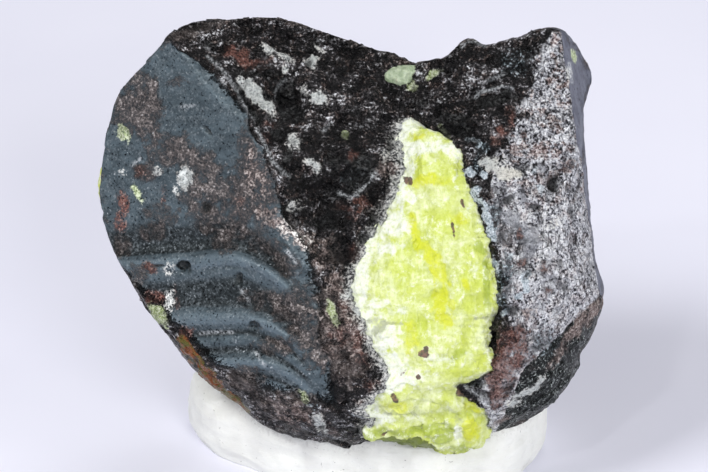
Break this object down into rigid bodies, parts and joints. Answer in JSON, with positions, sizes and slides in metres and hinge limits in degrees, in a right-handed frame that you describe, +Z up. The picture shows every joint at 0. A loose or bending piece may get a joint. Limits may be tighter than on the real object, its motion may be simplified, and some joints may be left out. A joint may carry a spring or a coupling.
{
  "type": "mineral specimen",
  "caption": "Dark metallic iron-oxide stone with a yellow-green serpentine vein down its front valley, seated in a lump of white putty with a flat underside.",
  "frame": {"origin": "middle of the whole piece's footprint, on the flat underside of the putty", "axes": "+Z up, +X to the right along the stone's longest extent as seen from the front, +Y towards the back of the stone"},
  "size_m": [0.0606, 0.0384, 0.0559],
  "materials": {
    "hematite": "dark steel-grey to black, semi-metallic, slick on the ribbed face and grainy elsewhere",
    "lizardite": "waxy yellow-green with white frosted rims",
    "putty": "matt white"
  },
  "bodies": {
    "root": {"hematite": "hematite", "lizardite_vein": "lizardite", "lizardite_crest": "lizardite", "lizardite_shoulder": "lizardite", "putty": "putty"}
  },
  "joints": []
}
